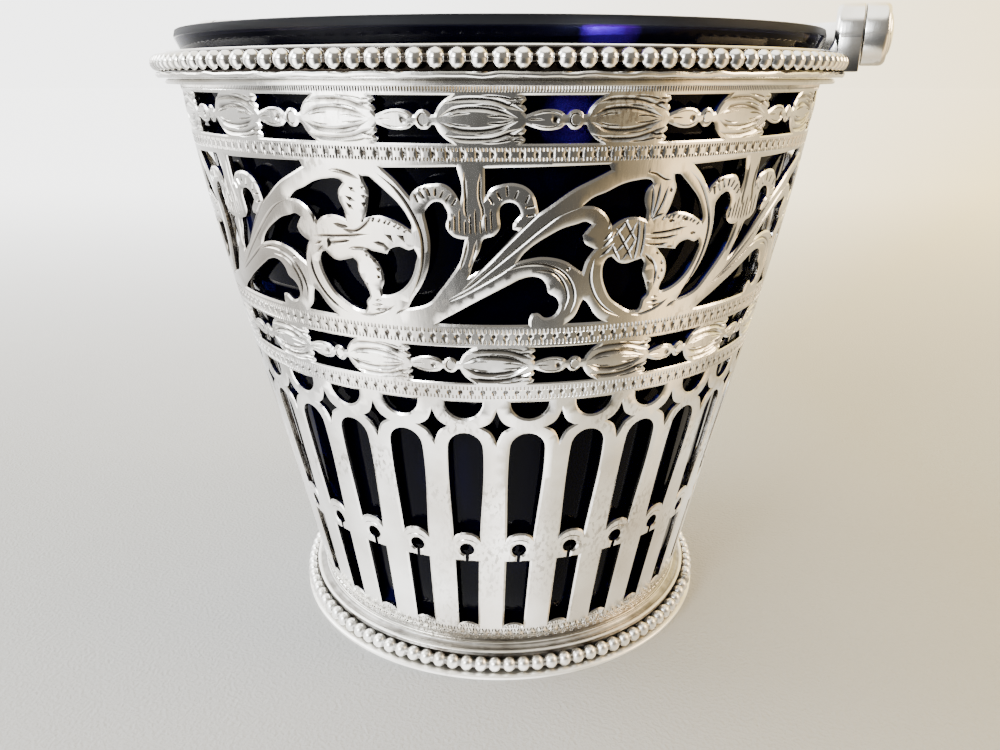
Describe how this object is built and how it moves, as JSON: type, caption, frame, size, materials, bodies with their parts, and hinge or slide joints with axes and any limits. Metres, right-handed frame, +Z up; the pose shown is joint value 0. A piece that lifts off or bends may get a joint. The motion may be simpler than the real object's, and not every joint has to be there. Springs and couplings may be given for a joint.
{
  "type": "cream pail",
  "caption": "Tapered pierced silver cream pail with beaded rim and foot, a lift-out cobalt glass liner and a swing bail handle.",
  "frame": {"origin": "centre of the foot's underside, on the table", "axes": "+Z up; the bail's ears stand on the X axis; at rest the bail is folded back towards +Y, and the picture is seen from the -Y side"},
  "size_m": [0.0878, 0.08, 0.0749],
  "materials": {
    "silver": "antique sterling silver, softly polished, with fine scratches and a little tarnish",
    "bright_silver": "antique sterling silver, rubbed bright on its high places",
    "cobalt_glass": "deep cobalt-blue glass with a ground rim"
  },
  "bodies": {
    "pail": {"pierced_body": "silver", "rim_collar": "bright_silver", "rim_bead_wire_front": "bright_silver", "rim_bead_wire_back": "bright_silver", "foot_collar": "bright_silver", "foot_bead_wire": "bright_silver", "base_plate": "silver", "lug_right": "silver", "lug_left": "silver", "rivet_right": "bright_silver", "rivet_left": "bright_silver"},
    "handle": {"bail_handle": "silver"},
    "liner": {"glass_liner": "cobalt_glass"}
  },
  "joints": [
    {"name": "handle_swing", "type": "hinge", "parent": "pail", "child": "handle", "pos_m": [0, 0, 0.07185], "axis": [1, 0, 0], "range_deg": [0, 177.7]},
    {"name": "liner_lift", "type": "slide", "parent": "pail", "child": "liner", "axis": [0, 0, 1], "range_m": [0, 0.08]}
  ]
}
